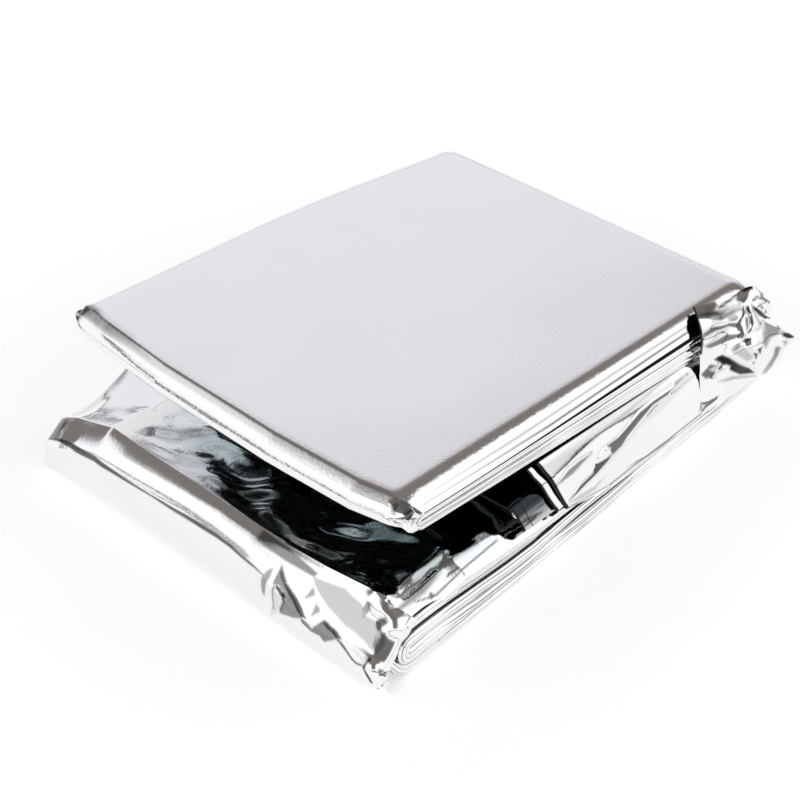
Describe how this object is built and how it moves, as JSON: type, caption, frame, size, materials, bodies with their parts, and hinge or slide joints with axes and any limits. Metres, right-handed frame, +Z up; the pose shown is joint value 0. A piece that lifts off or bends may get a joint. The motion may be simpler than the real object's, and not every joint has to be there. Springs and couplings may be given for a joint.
{
  "type": "emergency foil blanket",
  "caption": "Thin metallised sheet for keeping a person warm, folded back and forth to a hand-sized packet whose upper leaf has sprung up from the lower one.",
  "frame": {"origin": "centre of the packet's box, at the surface on which it lies", "axes": "+Y along the packet's length, from its open end to its hinge; +X across it, towards the edge with the crushed corner; +Z up"},
  "size_m": [0.1016, 0.133, 0.0364],
  "materials": {
    "silver_foil": "mirror-bright metal coating on thin clear film, satin where it is smooth"
  },
  "bodies": {
    "root": {"foil_blanket": "silver_foil"}
  },
  "joints": []
}
